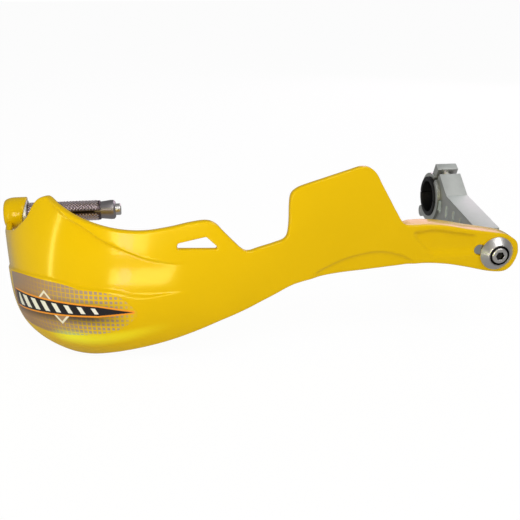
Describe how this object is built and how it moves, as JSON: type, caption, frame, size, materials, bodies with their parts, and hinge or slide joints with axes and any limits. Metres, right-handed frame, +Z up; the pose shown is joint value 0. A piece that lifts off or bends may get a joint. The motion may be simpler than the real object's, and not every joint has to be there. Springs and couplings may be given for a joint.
{
  "type": "motorcycle hand guard",
  "caption": "Wrap-around handlebar hand guard: moulded shell with a raised wing, hinged bar clamp inboard and an expander plug at the bar end.",
  "frame": {"origin": "centre of the bar clamp's bore, on the handlebar axis", "axes": "+X inboard along the handlebar, -Y forward towards the wind, +Z up"},
  "size_m": [0.324, 0.1219, 0.1136],
  "materials": {
    "yellow_shell": "gloss",
    "printed_film": "gloss",
    "cast_alloy": "satin",
    "black_reducer": "satin",
    "steel": "satin"
  },
  "bodies": {
    "root": {"shield": "yellow_shell", "graphic_film": "printed_film", "clamp_arm": "cast_alloy", "clamp_cap": "cast_alloy", "hinge_pin": "steel", "clamp_screw": "steel", "reducer_upper": "black_reducer", "reducer_lower": "black_reducer", "cone_washer": "steel", "arm_screw": "steel", "bar_end_screw": "steel", "bar_end_washer": "steel", "bar_end_collar": "cast_alloy", "expander_sleeve": "cast_alloy", "expander_wedge": "cast_alloy"}
  },
  "joints": []
}
